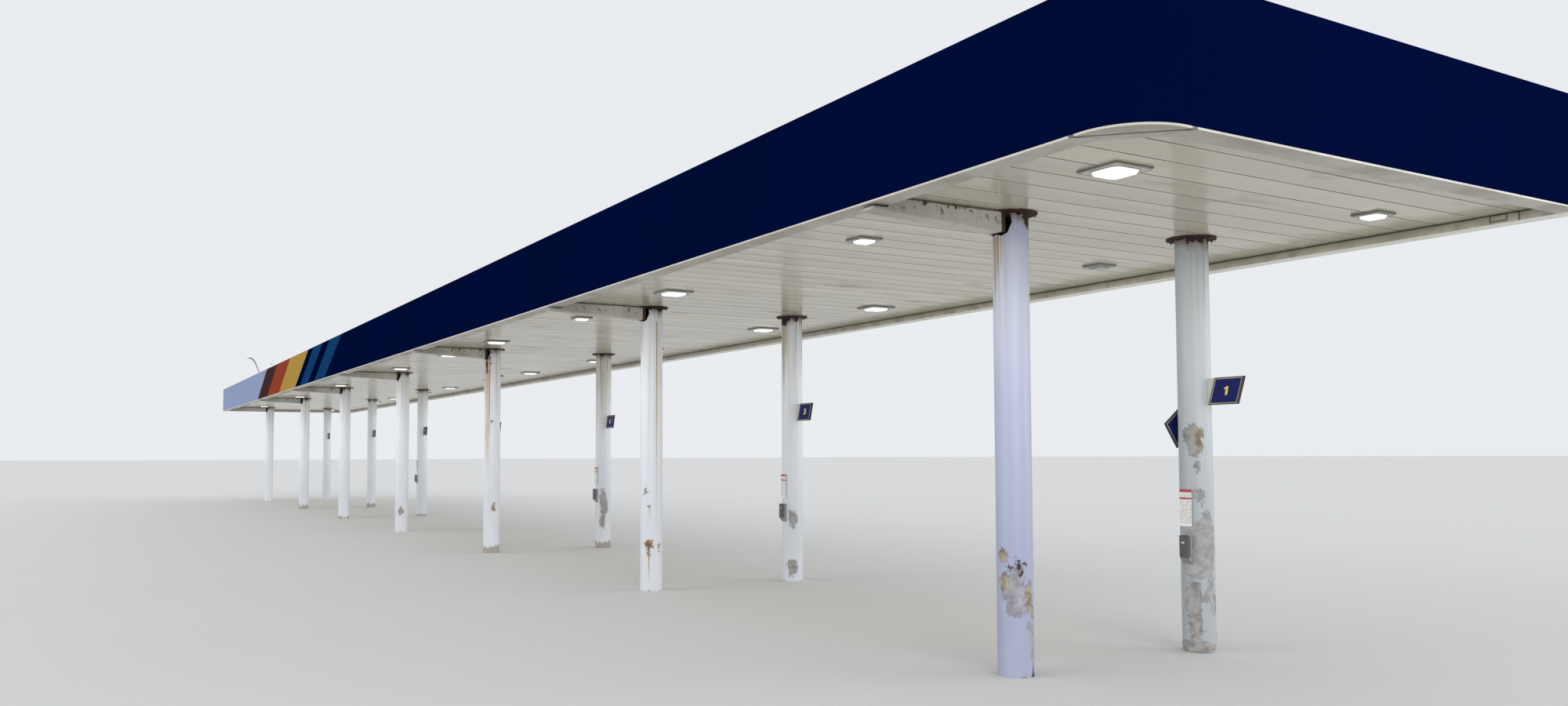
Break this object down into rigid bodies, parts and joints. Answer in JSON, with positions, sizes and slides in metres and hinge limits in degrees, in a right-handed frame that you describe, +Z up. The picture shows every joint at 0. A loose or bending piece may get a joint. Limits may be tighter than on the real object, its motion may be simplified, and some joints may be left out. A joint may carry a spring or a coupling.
{
  "type": "filling station canopy, 1:2 scale model",
  "caption": "Long flat canopy on two rows of round columns, with deep fascia panels, box gutters, deck pans, roof steel, luminaires and number flags",
  "frame": {"origin": "on the ground, under the middle of the canopy", "axes": "+X along the canopy to its near end with the rounded fascia corner, -Y to the front long side, +Z up"},
  "size_m": [30.4, 3.215, 3.2822],
  "materials": {
    "call_box_paint": "grey paint",
    "collar_steel": "rusted steel",
    "column_paint": "white paint, peeling and rust streaked",
    "deck_paint": "off-white gloss paint, dirty",
    "fascia_paint": "dark blue gloss paint",
    "flag_paint": "dark blue paint with a gold border",
    "frame_steel": "grey primer",
    "gutter_paint": "off-white paint, dirty",
    "lens_glass": "frosted lens",
    "light_paint": "white paint",
    "notice_paint": "white paint",
    "trim_paint": "black paint"
  },
  "bodies": {
    "root": {"call_boxes": "call_box_paint", "collars_back": "collar_steel", "collars_front": "collar_steel", "column_back_1": "column_paint", "column_back_2": "column_paint", "column_back_3": "column_paint", "column_back_4": "column_paint", "column_back_5": "column_paint", "column_back_6": "column_paint", "column_back_7": "column_paint", "column_front_1": "column_paint", "column_front_2": "column_paint", "column_front_3": "column_paint", "column_front_4": "column_paint", "column_front_5": "column_paint", "column_front_6": "column_paint", "column_front_7": "column_paint", "corner_filler": "gutter_paint", "cross_beams": "frame_steel", "deck_pans_1": "deck_paint", "deck_pans_2": "deck_paint", "deck_pans_3": "deck_paint", "deck_pans_4": "deck_paint", "drain_boxes": "gutter_paint", "edge_lamp": "light_paint", "end_beams": "frame_steel", "fascia_back": "fascia_paint", "fascia_corner": "fascia_paint", "fascia_far_end": "fascia_paint", "fascia_frame_back": "frame_steel", "fascia_frame_far_end": "frame_steel", "fascia_frame_front": "frame_steel", "fascia_frame_near_end": "frame_steel", "fascia_front": "fascia_paint", "fascia_near_end": "fascia_paint", "flag_brackets": "light_paint", "flag_loose": "flag_paint", "gutter_back": "gutter_paint", "gutter_corner": "gutter_paint", "gutter_far_end": "gutter_paint", "gutter_front": "gutter_paint", "gutter_near_end": "gutter_paint", "light_lenses": "lens_glass", "light_plates": "light_paint", "loose_trim": "trim_paint", "notice_plates": "notice_paint", "number_flags": "flag_paint", "purlins": "frame_steel", "twin_lamp": "light_paint"}
  },
  "joints": []
}
